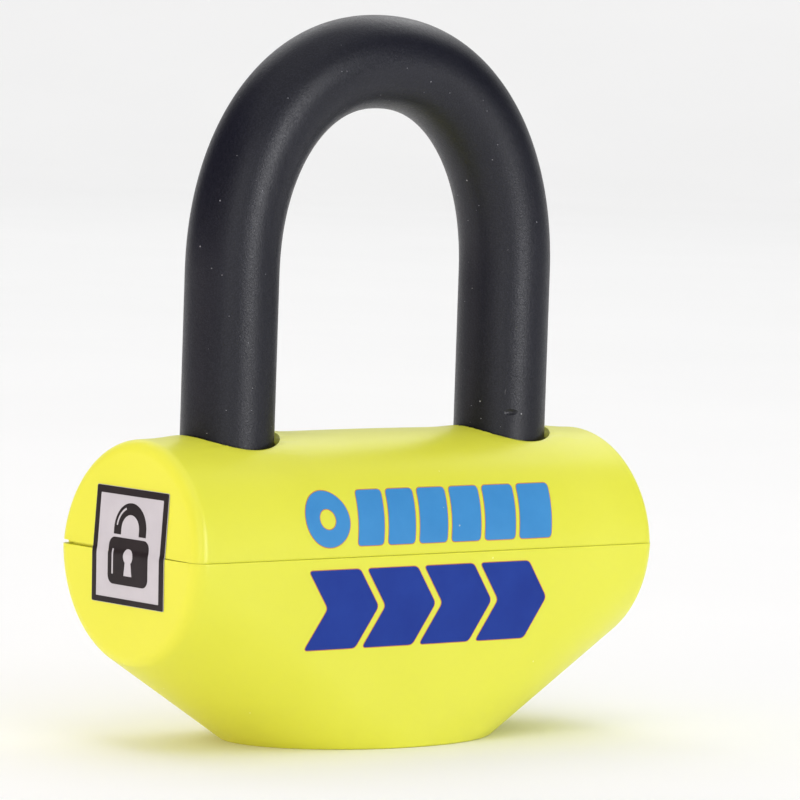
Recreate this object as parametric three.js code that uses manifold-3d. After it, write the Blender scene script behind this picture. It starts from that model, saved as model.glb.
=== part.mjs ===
// Disc brake lock: a removable U shackle with two bolts that lock both legs.
// Millimetres, +Z up. The origin is the centre of the flat underside; the lock stands on it.
// The crossbar's axis runs along X, the shackle stands in the XZ plane, and the front faces -Y.
// Rest is the unlocked state: the shackle is seated and both bolts are drawn in.
import * as THREE from 'three';
import { ConvexGeometry } from 'three/addons/geometries/ConvexGeometry.js';
import { mergeVertices } from 'three/addons/utils/BufferGeometryUtils.js';
import Module from 'manifold-3d';

const wasm = await Module();
wasm.setup();

// ---------- driving dimensions ----------
const AXIS_Z = 33.7;            // height of the crossbar's axis, which is also the covers' parting plane
const WALL = 2.4;               // moulded cover wall
const PART_GAP = 0.35;          // open line between the two covers

const UPPER = { hx: 51.05, ry: 19.65, rt: 19.1, crownT: 0.8, crownY: 0.3, draft: 0.06, fillet: 2.2 };
const LOWER = { hx: 51.2, ry: 19.95, rt: 19.3, crownT: 0.8, crownY: 0.3, draft: 0.02, fillet: 2.8 };
const FOOT_A = 27.2, FOOT_B = 18.3, FOOT_EDGE = 0.5;   // oval underside and its rounded edge

const SHACKLE_D = 16.2;         // 16 mm bar with its coating
const LEG_X = 30.5;             // half the distance between leg centres
const LEG_FOOT_Z = 24.5;        // underside of each leg when seated
const LEG_CHAMFER = 2.5;
const LEG_TOP_Z = 80.7;         // where the straight legs end and the bow starts
const BOW_H = 36.8, BOW_N = 2.14; // rise of the bow's centreline and its superellipse exponent
const NOTCH_DEPTH = 4.05, NOTCH_HALF_H = 5.2;

const HOLE_R = 8.9;             // leg hole in the upper cover
const TUBE_R = 16.3, TUBE_BORE_R = 12.0, TUBE_HX = 47.0;
const TUBE_LEG_HOLE_R = 8.45, TUBE_CYL_HOLE_R = 10.9;
const GUIDE_R = 11.7, GUIDE_HX = 41.4, GUIDE_LEG_R = 8.45, GUIDE_FLOOR_Z = 24.1;
const PLUG_X0 = 41.8, PLUG_X1 = 46.8;

const BOLT_R = 4.5, BOLT_BORE_R = 4.8, BOLT_IN = 1.2, BOLT_TIP = 21.9, BOLT_STROKE = 4.3;
const PIN_R = 1.2, PIN_AT = 3.4, SLOT_R = 1.48;        // drive pin under each bolt, and its scroll slot in the cam
const CAM_R = 10.2, CAM_Z0 = 23.9, CAM_Z1 = 28.7, CAM_RECESS_R = 10.5, CAM_RECESS_Z = 29.0, SLOT_FLOOR_Z = 26.9;

const BARREL_R = 14.4, BARREL_BORE_R = 10.6, BARREL_Z0 = 4.5, FLANGE_A = 21.5, FLANGE_B = 14.7, FLANGE_Z1 = 7.3;
const SHELL_R = 10.3, SHELL_BORE_R = 8.0, SHELL_Z0 = 4.9, SHELL_Z1 = 23.2, SHELL_LIP_R = 6.7, SHELL_LIP_Z = 6.2;
const CORE_R = 7.7, CORE_BORE_R = 6.2, CORE_Z0 = 8.6, CORE_Z1 = 21.7, CORE_BORE_Z = 19.6;
const DISC_R = 5.9, DISC_T = 1.15, DISC_PITCH = 1.5, DISC_Z0 = 8.9;
const GATES = [20, 65, 35, 80, 50, 95, 5];             // angle of each detainer disc's gate
const KEYWAY_R = 3.3, KEYWAY_FLAT = -0.1;
const ROLL_PIN_X = 10.45, ROLL_PIN_Z = 15.0;

const KEYHOLE_R = 6.2;          // opening in the underside
const SHUTTER = { x0: -7.4, x1: 9.9, y: 7.0, z0: 2.7, z1: 4.1, nibX0: 7.3, nibX1: 9.1, nibY: 1.1, nibZ: 0.5, travel: 13.6 };
const SCREW = { x: 13.5, y: 8.9, headR: 2.6, headZ0: 0.35, headZ1: 1.45, shankR: 1.3, tipZ: 7.0 };

// ---------- materials ----------
const mat = (color, roughness, metalness) => new THREE.MeshStandardMaterial({ color, roughness, metalness });
const YELLOW = mat(0xe9ea3c, 0.42, 0.0);
const BLACK_STEEL = mat(0x26262b, 0.5, 0.4);
const TUBE_STEEL = mat(0x8d9196, 0.38, 1.0);
const BOLT_STEEL = mat(0xb9bcc0, 0.25, 1.0);
const ZINC = mat(0xa2a5a8, 0.5, 0.9);
const BRASS = mat(0xc7a24c, 0.32, 1.0);
const DISC_STEEL = mat(0xc2c4c4, 0.3, 1.0);
const DARK_PLASTIC = mat(0x1d1d20, 0.55, 0.0);
const LABEL = mat(0xcfc8cc, 0.35, 0.0);
const SCREW_STEEL = mat(0x6e7074, 0.35, 1.0);

// ---------- helpers: geometry classes to solids and back ----------
function solid(geometry) {
  const g = geometry.index ? geometry.toNonIndexed() : geometry.clone();
  for (const name of Object.keys(g.attributes)) if (name !== 'position') g.deleteAttribute(name);
  const m = mergeVertices(g, 1e-4);
  const tri = new Uint32Array(m.index.array);
  const make = () => new wasm.Manifold(new wasm.Mesh({ numProp: 3, vertProperties: new Float32Array(m.attributes.position.array), triVerts: tri }));
  let s = make();
  if (s.volume() < 0) { for (let i = 0; i < tri.length; i += 3) [tri[i + 1], tri[i + 2]] = [tri[i + 2], tri[i + 1]]; s = make(); }
  return s;
}
function geometryOf(s) {
  const m = s.getMesh(), n = m.numProp, v = new Float32Array(m.numVert * 3);
  for (let i = 0; i < m.numVert; i++) for (let k = 0; k < 3; k++) v[3 * i + k] = m.vertProperties[n * i + k];
  const g = new THREE.BufferGeometry().setAttribute('position', new THREE.BufferAttribute(v, 3)).setIndex(new THREE.BufferAttribute(m.triVerts, 1));
  const flat = g.toNonIndexed();
  flat.computeVertexNormals();
  return flat;
}
const root = new THREE.Group();
function add(name, s, material, parent = root) {
  const mesh = new THREE.Mesh(s.isBufferGeometry ? s : geometryOf(s), material);
  mesh.name = name;
  parent.add(mesh);
  return mesh;
}
const boxG = (x0, x1, y0, y1, z0, z1) => new THREE.BoxGeometry(x1 - x0, y1 - y0, z1 - z0).translate((x0 + x1) / 2, (y0 + y1) / 2, (z0 + z1) / 2);
const box = (...a) => solid(boxG(...a));
const cylZ = (r, x, y, z0, z1, seg = 32) => solid(new THREE.CylinderGeometry(r, r, z1 - z0, seg).rotateX(Math.PI / 2).translate(x, y, (z0 + z1) / 2));
const cylX = (r, x0, x1, y, z, seg = 32) => solid(new THREE.CylinderGeometry(r, r, x1 - x0, seg).rotateZ(Math.PI / 2).translate((x0 + x1) / 2, y, z));
const cylY = (r, y0, y1, x, z, seg = 16) => solid(new THREE.CylinderGeometry(r, r, y1 - y0, seg).translate(x, (y0 + y1) / 2, z));
// A turned part about a vertical axis through (x, y): pts are [radius, z], closed on itself or on the axis.
const latheZ = (pts, seg, x = 0, y = 0) => solid(new THREE.LatheGeometry(pts.map(p => new THREE.Vector2(p[0], p[1])), seg).rotateX(Math.PI / 2).translate(x, y, 0));
const latheX = (pts, seg, z) => solid(new THREE.LatheGeometry(pts.map(p => new THREE.Vector2(p[0], p[1])), seg).rotateZ(-Math.PI / 2).translate(0, 0, z));
// A plate from z0 up to z1 with the outline of a shape in XY.
const plate = (shape, z0, z1, curveSegments = 24) => solid(new THREE.ExtrudeGeometry(shape, { depth: z1 - z0, bevelEnabled: false, curveSegments }).translate(0, 0, z0));

// ---------- covers ----------
// Outer or inner form of the cover: a crowned barrel along X, drawn down to an oval foot.
function coverForm(c, wall, seg) {
  const P = [];
  const f = Math.max(0.6, c.fillet - wall), hx = c.hx - wall, ry = c.ry - wall * 1.08, rt = c.rt - wall;
  const ring = (x, dr, k) => {
    for (let i = 0; i < seg; i++) {
      const t = 2 * Math.PI * i / seg, cy = Math.cos(t), sz = Math.sin(t);
      const y = (ry - dr + k * c.crownY) * cy;
      const z = AXIS_Z + (sz > 0 ? (rt - dr + k * c.crownT) : (ry - dr + k * c.crownY)) * sz;
      P.push(new THREE.Vector3(x - Math.sign(x) * c.draft * Math.abs(z - AXIS_Z), y, z));
    }
  };
  for (const u of [-0.66, -0.33, 0, 0.33, 0.66]) ring(u * hx, 0, 1 - u * u);
  for (const s of [-1, 1]) for (const a of [0, 0.5, 1]) {
    const q = a * Math.PI / 2;
    ring(s * (hx - f + f * Math.sin(q)), f * (1 - Math.cos(q)), 0);
  }
  const A = FOOT_A - wall * 0.38, B = FOOT_B - wall * 0.95, e = wall > 0 ? 0.3 : FOOT_EDGE;
  for (const a of [0, 0.5, 1]) {
    const q = a * Math.PI / 2;
    for (let i = 0; i < seg; i++) {
      const t = 2 * Math.PI * i / seg;
      P.push(new THREE.Vector3((A - e + e * Math.cos(q)) * Math.cos(t), (B - e + e * Math.cos(q)) * Math.sin(t), wall + e - e * Math.sin(q)));
    }
  }
  return solid(new ConvexGeometry(P));
}
const FAR = 80;
const above = z => box(-FAR, FAR, -FAR, FAR, z, z + FAR);
const below = z => box(-FAR, FAR, -FAR, FAR, z - FAR, z);

// The upper cover stops half a gap above the parting plane; inside it is rebated for the lower cover's tongue.
let upper = coverForm(UPPER, 0, 40).intersect(above(AXIS_Z + PART_GAP / 2)).subtract(coverForm(UPPER, WALL, 28));
upper = upper.subtract(coverForm(UPPER, 1.25, 28).intersect(below(AXIS_Z + 2.5)));
for (const s of [-1, 1]) upper = upper.subtract(cylZ(HOLE_R, s * LEG_X, 0, 40, 60, 32));
add('upper_cover', upper, YELLOW);

let lower = coverForm(LOWER, 0, 40).intersect(below(AXIS_Z - PART_GAP / 2)).subtract(coverForm(LOWER, WALL, 28));
const tongue = coverForm(UPPER, 1.6, 28).subtract(coverForm(LOWER, WALL, 28)).intersect(below(AXIS_Z + 2.1)).intersect(above(AXIS_Z - 2.0));
lower = lower.add(tongue);
for (const s of [-1, 1]) lower = lower.add(box(-8.4, 9.4, s > 0 ? 7.35 : -8.35, s > 0 ? 8.35 : -7.35, WALL - 0.5, 4.2)); // shutter rails
lower = lower.subtract(cylZ(KEYHOLE_R, 0, 0, -1, 2.6, 32));
lower = lower.subtract(box(7.0, 23.0, -1.4, 1.4, -1, 2.6)); // slot for the shutter's thumb nib
for (const sx of [-1, 1]) for (const sy of [-1, 1]) {
  lower = lower.subtract(cylZ(SCREW.headR + 0.3, sx * SCREW.x, sy * SCREW.y, -1, 1.6, 20));
  lower = lower.subtract(cylZ(SCREW.shankR + 0.4, sx * SCREW.x, sy * SCREW.y, 1, 3, 16));
}
add('lower_cover', lower, YELLOW);

// Square sticker on the left end face; it bends with the drafted upper cover.
{
  const X = -(LOWER.hx + 0.05), t = 0.2, z0 = AXIS_Z - 8.9, z1 = AXIS_Z + 11.0, top = -(UPPER.hx + 0.05) + UPPER.draft * 11.0, low = X + LOWER.draft * 8.9;
  const s = new THREE.Shape([[low, z0], [X, AXIS_Z], [top, z1], [top - t, z1], [X - t, AXIS_Z], [low - t, z0]].map(p => new THREE.Vector2(...p)));
  const g = new THREE.ExtrudeGeometry(s, { depth: 20.2, bevelEnabled: false }).translate(0, 0, -9.5).rotateX(Math.PI / 2);
  add('end_label', solid(g), LABEL);
}

// ---------- steel crossbar ----------
let tube = latheX([[TUBE_BORE_R, -TUBE_HX], [TUBE_R - 0.8, -TUBE_HX], [TUBE_R, -TUBE_HX + 0.8], [TUBE_R, TUBE_HX - 0.8], [TUBE_R - 0.8, TUBE_HX], [TUBE_BORE_R, TUBE_HX], [TUBE_BORE_R, -TUBE_HX]], 40, AXIS_Z);
for (const s of [-1, 1]) tube = tube.subtract(cylZ(TUBE_LEG_HOLE_R, s * LEG_X, 0, AXIS_Z, 60, 28));
tube = tube.subtract(cylZ(TUBE_CYL_HOLE_R, 0, 0, 0, AXIS_Z, 32));
add('crossbar_tube', tube, TUBE_STEEL);
for (const [name, s] of [['left_end_plug', -1], ['right_end_plug', 1]]) {
  const p = [[0, PLUG_X0], [GUIDE_R, PLUG_X0], [GUIDE_R, PLUG_X1 - 0.8], [GUIDE_R - 0.8, PLUG_X1], [0, PLUG_X1]];
  add(name, latheX(s > 0 ? p : p.map(q => [q[0], -q[1]]).reverse(), 28, AXIS_Z), TUBE_STEEL);
}

// Two cast halves fill the tube: they hold the legs' feet and guide the bolts and the cam.
const boltBore = cylX(BOLT_BORE_R, -LEG_X, LEG_X, 0, AXIS_Z, 24);
const guideBlank = cylX(GUIDE_R, -GUIDE_HX, GUIDE_HX, 0, AXIS_Z, 32);
const legBores = [-1, 1].map(s => cylZ(GUIDE_LEG_R, s * LEG_X, 0, GUIDE_FLOOR_Z, 60, 28));
let upperGuide = guideBlank.intersect(above(AXIS_Z + 0.15)).subtract(boltBore);
let lowerGuide = guideBlank.intersect(below(AXIS_Z - 0.15)).subtract(boltBore).subtract(cylZ(CAM_RECESS_R, 0, 0, 10, CAM_RECESS_Z, 32));
lowerGuide = lowerGuide.subtract(box(-9.4, 9.4, -1.6, 1.6, CAM_RECESS_Z - 1, AXIS_Z - 2)); // opening for the drive pins
for (const b of legBores) { upperGuide = upperGuide.subtract(b); lowerGuide = lowerGuide.subtract(b); }
add('upper_guide', upperGuide, ZINC);
add('lower_guide', lowerGuide, ZINC);

// ---------- barrel housing, welded under the crossbar ----------
const flange = new THREE.Shape().absellipse(0, 0, FLANGE_A, FLANGE_B, 0, 2 * Math.PI, false, 0);
let barrel = cylZ(BARREL_R, 0, 0, BARREL_Z0, 26, 36).add(plate(flange, BARREL_Z0, FLANGE_Z1, 18));
barrel = barrel.subtract(cylX(TUBE_R + 0.3, -40, 40, 0, AXIS_Z, 40)).subtract(cylZ(BARREL_BORE_R, 0, 0, 0, 40, 32));
for (const sx of [-1, 1]) {
  barrel = barrel.subtract(cylY(1.3, -20, 20, sx * ROLL_PIN_X, ROLL_PIN_Z));
  for (const sy of [-1, 1]) barrel = barrel.subtract(cylZ(SCREW.shankR + 0.2, sx * SCREW.x, sy * SCREW.y, 4, 8, 16));
}
add('barrel_housing', barrel, TUBE_STEEL);
for (const [name, s] of [['retaining_pin_left', -1], ['retaining_pin_right', 1]]) add(name, cylY(1.0, -9.5, 9.5, s * ROLL_PIN_X, ROLL_PIN_Z), BOLT_STEEL);

// ---------- lock cylinder ----------
let shell = latheZ([[SHELL_LIP_R, SHELL_Z0], [SHELL_R - 0.4, SHELL_Z0], [SHELL_R, SHELL_Z0 + 0.4], [SHELL_R, SHELL_Z1], [SHELL_BORE_R, SHELL_Z1], [SHELL_BORE_R, 23.0], [8.9, 23.0], [8.9, 21.9], [SHELL_BORE_R, 21.9], [SHELL_BORE_R, SHELL_LIP_Z], [SHELL_LIP_R, SHELL_LIP_Z], [SHELL_LIP_R, SHELL_Z0]], 32);
shell = shell.subtract(box(-8.9, -7, -1.1, 1.1, CORE_Z0, 20)); // groove that the side bar springs into when locked
for (const s of [-1, 1]) shell = shell.subtract(cylY(1.3, -20, 20, s * ROLL_PIN_X, ROLL_PIN_Z));
add('cylinder_shell', shell, BRASS);
const ringOut = latheZ([[6.3, 22.1], [8.6, 22.1], [8.6, 22.8], [6.3, 22.8], [6.3, 22.1]], 28);
add('retaining_ring', ringOut.subtract(box(5, 10, -1.3, 1.3, 20, 24)), BOLT_STEEL);

// The plug and all that turns with the key.
const keyway = new THREE.Path();
{
  const a = Math.asin(KEYWAY_FLAT / KEYWAY_R);
  keyway.absarc(0, 0, KEYWAY_R, a, Math.PI - a, false);
  keyway.closePath();
}
const keyDisc = (r, z0, z1, seg) => {
  const s = new THREE.Shape().absarc(0, 0, r, 0, 2 * Math.PI, false);
  s.holes.push(keyway);
  return plate(s, z0, z1, seg);
};
const plug = new THREE.Group();
root.add(plug);
let core = latheZ([[0, CORE_BORE_Z], [CORE_BORE_R, CORE_BORE_Z], [CORE_BORE_R, CORE_Z0], [CORE_R, CORE_Z0], [CORE_R, CORE_Z1], [0, CORE_Z1]], 28);
core = core.add(box(-3.5, 3.5, -2, 2, CORE_Z1 - 0.5, CAM_Z0 + 1.7)).subtract(box(-0.95, 0.95, 5, 9, 9.4, 19.2));
add('plug_core', core, BRASS, plug);
add('front_disc', keyDisc(7.6, 6.5, 8.3, 14), DISC_STEEL, plug);
GATES.forEach((deg, i) => {
  const z = DISC_Z0 + i * DISC_PITCH;
  const gate = box(-0.8, 0.8, DISC_R - 0.9, DISC_R + 2, z - 1, z + 3).rotate([0, 0, deg]);
  add('detainer_disc_' + (i + 1), keyDisc(DISC_R, z, z + DISC_T, 12).subtract(gate), DISC_STEEL, plug);
});
add('side_bar', box(-0.7, 0.7, 6.25, 7.6, 9.8, 18.8), BOLT_STEEL, plug);
// Scroll cam: each spiral slot draws its bolt in or out in step with the turn.
{
  let cam = latheZ([[0, CAM_Z0], [CAM_R - 0.4, CAM_Z0], [CAM_R, CAM_Z0 + 0.4], [CAM_R, CAM_Z1], [0, CAM_Z1]], 32).subtract(box(-3.8, 3.8, -2.3, 2.3, 20, CAM_Z0 + 2.0));
  const k = BOLT_STROKE / (Math.PI / 2), n = 9, outer = [], inner = [];
  for (let i = 0; i <= n; i++) {
    const a = -0.02 + (Math.PI / 2 + 0.04) * i / n, r = PIN_AT + k * a;
    const p = new THREE.Vector2(r * Math.cos(-a), r * Math.sin(-a));
    const t = new THREE.Vector2(k * Math.cos(-a) + r * Math.sin(-a), k * Math.sin(-a) - r * Math.cos(-a)).normalize();
    const nrm = new THREE.Vector2(-t.y, t.x);
    outer.push(p.clone().addScaledVector(nrm, SLOT_R)); inner.push(p.clone().addScaledVector(nrm, -SLOT_R));
    if (i === 0 || i === n) outer['c' + i] = { p, t };
  }
  const cap = (c, from) => { // half-round end of a slot
    const pts = [];
    for (let j = 1; j < 8; j++) { const b = from - Math.PI * j / 8; pts.push(new THREE.Vector2(c.x + SLOT_R * Math.cos(b), c.y + SLOT_R * Math.sin(b))); }
    return pts;
  };
  const end = outer['c' + n], start = outer.c0;
  const up = v => Math.atan2(v.t.x, -v.t.y); // angle of the slot's left normal
  const outline = [...outer, ...cap(end.p, up(end)), ...inner.reverse(), ...cap(start.p, up(start) - Math.PI)];
  const slot = plate(new THREE.Shape(outline), SLOT_FLOOR_Z, CAM_Z1 + 1, 1);
  cam = cam.subtract(slot).subtract(slot.rotate([0, 0, 180]));
  add('scroll_cam', cam, ZINC, plug);
}

// ---------- bolts ----------
for (const [name, s] of [['left_bolt', -1], ['right_bolt', 1]]) {
  const p = [[0, BOLT_IN], [BOLT_R, BOLT_IN], [BOLT_R, BOLT_TIP - 0.7], [BOLT_R - 0.7, BOLT_TIP], [0, BOLT_TIP]];
  const body = latheX(s > 0 ? p : p.map(q => [q[0], -q[1]]).reverse(), 24, AXIS_Z);
  add(name, body.add(cylZ(PIN_R, s * PIN_AT, 0, SLOT_FLOOR_Z + 0.25, AXIS_Z - 2, 16)), BOLT_STEEL);
}

// ---------- shackle ----------
class Bow extends THREE.Curve {
  getPoint(t, target = new THREE.Vector3()) {
    const leg = LEG_TOP_Z - LEG_FOOT_Z, arc = 107.3, total = 2 * leg + arc, d = t * total;
    if (d <= leg) return target.set(-LEG_X, 0, LEG_FOOT_Z + d);
    if (d >= leg + arc) return target.set(LEG_X, 0, LEG_TOP_Z - (d - leg - arc));
    const q = Math.PI * (d - leg) / arc, c = Math.cos(q), s = Math.sin(q), e = 2 / BOW_N;
    return target.set(-LEG_X * Math.sign(c) * Math.abs(c) ** e, 0, LEG_TOP_Z + BOW_H * Math.max(s, 0) ** e);
  }
}
{
  const round = [];
  for (let i = 0; i < 20; i++) { const a = 2 * Math.PI * (i + 0.5) / 20; round.push(new THREE.Vector2(SHACKLE_D / 2 * Math.cos(a), SHACKLE_D / 2 * Math.sin(a))); }
  const bow = new Bow();
  bow.arcLengthDivisions = 600;
  let s = solid(new THREE.ExtrudeGeometry(new THREE.Shape(round), { steps: 34, bevelEnabled: false, extrudePath: bow }));
  for (const sx of [-1, 1]) {
    const r = SHACKLE_D / 2, c = LEG_CHAMFER, z = LEG_FOOT_Z;
    s = s.subtract(latheZ([[r - c - 0.3, z - 0.3], [r + 1, z - 0.3], [r + 1, z + c + 1], [r - c - 0.3, z - 0.3]], 28, sx * LEG_X)); // foot chamfer
    const n0 = LEG_X - r - 1, n1 = LEG_X - r + NOTCH_DEPTH;
    s = s.subtract(sx > 0 ? box(n0, n1, -12, 12, AXIS_Z - NOTCH_HALF_H, AXIS_Z + NOTCH_HALF_H) : box(-n1, -n0, -12, 12, AXIS_Z - NOTCH_HALF_H, AXIS_Z + NOTCH_HALF_H));
  }
  add('shackle', s, BLACK_STEEL);
}

// ---------- keyhole shutter and cover screws ----------
{
  const S = SHUTTER, r = 2.0, sh = new THREE.Shape();
  sh.moveTo(S.x0 + r, -S.y); sh.lineTo(S.x1 - r, -S.y); sh.absarc(S.x1 - r, -S.y + r, r, -Math.PI / 2, 0, false);
  sh.lineTo(S.x1, S.y - r); sh.absarc(S.x1 - r, S.y - r, r, 0, Math.PI / 2, false);
  sh.lineTo(S.x0 + r, S.y); sh.absarc(S.x0 + r, S.y - r, r, Math.PI / 2, Math.PI, false);
  sh.lineTo(S.x0, -S.y + r); sh.absarc(S.x0 + r, -S.y + r, r, Math.PI, 1.5 * Math.PI, false);
  add('keyhole_shutter', plate(sh, S.z0, S.z1, 4).add(box(S.nibX0, S.nibX1, -S.nibY, S.nibY, S.nibZ, S.z0 + 0.5)), DARK_PLASTIC);
}
for (const [name, sx, sy] of [['cover_screw_front_left', -1, -1], ['cover_screw_front_right', 1, -1], ['cover_screw_rear_left', -1, 1], ['cover_screw_rear_right', 1, 1]]) {
  const S = SCREW, x = sx * S.x, y = sy * S.y;
  const body = latheZ([[0, S.headZ0], [S.headR - 0.5, S.headZ0], [S.headR, S.headZ0 + 0.4], [S.headR, S.headZ1], [S.shankR, S.headZ1], [S.shankR, S.tipZ - 0.8], [0.4, S.tipZ], [0, S.tipZ]], 16, x, y);
  const drive = box(x - 1.3, x + 1.3, y - 0.28, y + 0.28, 0, 0.95).add(box(x - 0.28, x + 0.28, y - 1.3, y + 1.3, 0, 0.95));
  add(name, body.subtract(drive), SCREW_STEEL);
}

export default root;
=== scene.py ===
import math
import random
import bpy
import bmesh
import numpy as np
from mathutils import Vector, Matrix


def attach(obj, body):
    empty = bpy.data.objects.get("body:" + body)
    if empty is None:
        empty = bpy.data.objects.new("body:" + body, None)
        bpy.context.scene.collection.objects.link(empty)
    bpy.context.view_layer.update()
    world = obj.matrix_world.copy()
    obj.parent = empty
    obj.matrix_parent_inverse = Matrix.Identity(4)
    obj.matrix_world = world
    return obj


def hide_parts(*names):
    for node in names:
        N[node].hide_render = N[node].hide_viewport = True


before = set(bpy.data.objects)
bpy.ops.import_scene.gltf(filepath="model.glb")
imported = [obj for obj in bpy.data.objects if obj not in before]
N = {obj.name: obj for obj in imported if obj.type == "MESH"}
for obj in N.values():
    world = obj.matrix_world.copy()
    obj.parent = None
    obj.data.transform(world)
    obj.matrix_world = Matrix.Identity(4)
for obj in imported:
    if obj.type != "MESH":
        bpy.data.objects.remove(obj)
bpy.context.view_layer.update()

random.seed(7)
MM = 0.001
COL = bpy.context.scene.collection

# ------------------------------------------------------------------ camera
# The lens looks from the front left, a little above the crossbar.
cam_data = bpy.data.cameras.new("Camera")
cam = bpy.data.objects.new("Camera", cam_data)
COL.objects.link(cam)
CAM_AZ = math.radians(39.20)          # the lens's azimuth off the front
fwd = Vector((math.sin(CAM_AZ), math.cos(CAM_AZ), 0.0))
right = Vector((math.cos(CAM_AZ), -math.sin(CAM_AZ), 0.0))
up = Vector((0, 0, 1))
cam.location = (-0.6194, -0.7594, 0.12870)
aim = (fwd + 0.00596 * right - 0.0713 * up).normalized()
cam.rotation_mode = "QUATERNION"
cam.rotation_quaternion = aim.to_track_quat("-Z", "Y") @ Matrix.Rotation(math.radians(1.91), 4, "Z").to_quaternion()
cam_data.lens = 253.8
cam_data.sensor_width = 36.0
cam_data.clip_end = 50.0
bpy.context.scene.camera = cam

# ------------------------------------------------------------------ sizes (mm, as in the CAD model)
AXIS_Z = 33.7
WALL = 2.4
GAP = 0.02                            # the moulded faces almost meet; the groove is the round of their edges
UPPER = dict(hx=51.05, ry=19.65, rt=19.1, ct=0.8, cy=0.3, draft=0.06, f=2.2)
LOWER = dict(hx=51.2, ry=19.95, rt=19.3, ct=0.8, cy=0.3, draft=0.02, f=2.8)
FOOT_A, FOOT_B, FOOT_EDGE = 27.2, 18.3, 0.5
LEG_X, BAR_R = 30.5, 8.1
LEG_FOOT_Z, LEG_TOP_Z, BOW_H, BOW_N = 24.5, 80.7, 36.8, 2.14
HOLE_R = 8.26


# ------------------------------------------------------------------ mesh helpers
def obj_from(name, verts, faces, smooth=True):
    me = bpy.data.meshes.new(name)
    me.from_pydata([tuple(v) for v in verts], [], faces)
    me.update()
    o = bpy.data.objects.new(name, me)
    COL.objects.link(o)
    if smooth:
        me.shade_smooth()
    return o


def fix_normals(o):
    bm = bmesh.new()
    bm.from_mesh(o.data)
    bmesh.ops.recalc_face_normals(bm, faces=bm.faces)
    bm.to_mesh(o.data)
    bm.free()


def hull(name, pts):
    bm = bmesh.new()
    for p in pts:
        bm.verts.new(p)
    r = bmesh.ops.convex_hull(bm, input=bm.verts, use_existing_faces=False)
    junk = [e for e in r["geom_interior"] + r["geom_unused"] if isinstance(e, bmesh.types.BMVert)]
    bmesh.ops.delete(bm, geom=list(set(junk)), context="VERTS")
    bmesh.ops.remove_doubles(bm, verts=bm.verts, dist=1e-5)
    bmesh.ops.recalc_face_normals(bm, faces=bm.faces)
    me = bpy.data.meshes.new(name)
    bm.to_mesh(me)
    bm.free()
    o = bpy.data.objects.new(name, me)
    COL.objects.link(o)
    return o


def loft(name, rings, cap0=True, cap1=True):
    """A closed body through rings of equal count, in order."""
    n = len(rings[0])
    verts = [p for r in rings for p in r]
    faces = []
    for k in range(len(rings) - 1):
        a, b = k * n, (k + 1) * n
        for i in range(n):
            j = (i + 1) % n
            faces.append((a + i, a + j, b + j, b + i))
    if cap0:
        faces.append(tuple(reversed(range(n))))
    if cap1:
        m = (len(rings) - 1) * n
        faces.append(tuple(m + i for i in range(n)))
    o = obj_from(name, verts, faces, smooth=False)
    fix_normals(o)
    return o


def turned(name, prof, seg=96, cx=0.0, cy=0.0):
    """A turned body about a vertical axis: prof is [radius, z] from axis to axis."""
    verts, faces, rows = [], [], []
    for r, z in prof:
        if r < 1e-9:
            rows.append([len(verts)])
            verts.append((cx, cy, z))
        else:
            rows.append(list(range(len(verts), len(verts) + seg)))
            verts += [(cx + r * math.cos(2 * math.pi * i / seg), cy + r * math.sin(2 * math.pi * i / seg), z) for i in range(seg)]
    closed = rows[0] is not rows[-1] and len(rows[0]) > 1
    pairs = list(zip(rows[:-1], rows[1:])) + ([(rows[-1], rows[0])] if closed else [])
    for a, b in pairs:
        for i in range(seg):
            j = (i + 1) % seg
            if len(a) == 1 and len(b) == 1:
                continue
            if len(a) == 1:
                faces.append((a[0], b[j], b[i]))
            elif len(b) == 1:
                faces.append((a[i], a[j], b[0]))
            else:
                faces.append((a[i], a[j], b[j], b[i]))
    o = obj_from(name, verts, faces, smooth=False)
    fix_normals(o)
    return o


def boolean(o, other, op="DIFFERENCE", keep=False):
    m = o.modifiers.new("b", "BOOLEAN")
    m.operation, m.object, m.solver = op, other, "EXACT"
    apply_mods(o)
    if not keep:
        bpy.data.objects.remove(other)


def apply_mods(o):
    dg = bpy.context.evaluated_depsgraph_get()
    dg.update()
    me = bpy.data.meshes.new_from_object(o.evaluated_get(dg))
    o.modifiers.clear()
    old = o.data
    o.data = me
    bpy.data.meshes.remove(old)


def finish_mesh(o, angle=32, scale=MM, weighted=True):
    """mm to metres, smooth shading with creases kept, face-weighted normals on the large faces."""
    bm = bmesh.new()
    bm.from_mesh(o.data)
    bmesh.ops.remove_doubles(bm, verts=bm.verts, dist=2e-4)
    bmesh.ops.dissolve_degenerate(bm, edges=bm.edges, dist=2e-4)
    big = [f for f in bm.faces if len(f.verts) > 4]
    if big:
        bmesh.ops.triangulate(bm, faces=big)
    bmesh.ops.recalc_face_normals(bm, faces=bm.faces)
    lim = math.radians(angle)
    for e in bm.edges:
        e.smooth = len(e.link_faces) == 2 and e.calc_face_angle(0.0) < lim
    for f in bm.faces:
        f.smooth = True
    bm.transform(Matrix.Scale(scale, 4))
    bm.to_mesh(o.data)
    bm.free()
    o.data.update()
    if weighted:
        m = o.modifiers.new("wn", "WEIGHTED_NORMAL")
        m.mode, m.weight, m.keep_sharp = "FACE_AREA", 80, True
        apply_mods(o)


def box_obj(name, x0, x1, y0, y1, z0, z1):
    v = [(x, y, z) for z in (z0, z1) for y in (y0, y1) for x in (x0, x1)]
    f = [(0, 2, 3, 1), (4, 5, 7, 6), (0, 1, 5, 4), (2, 6, 7, 3), (0, 4, 6, 2), (1, 3, 7, 5)]
    o = obj_from(name, v, f, smooth=False)
    fix_normals(o)
    return o


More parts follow.
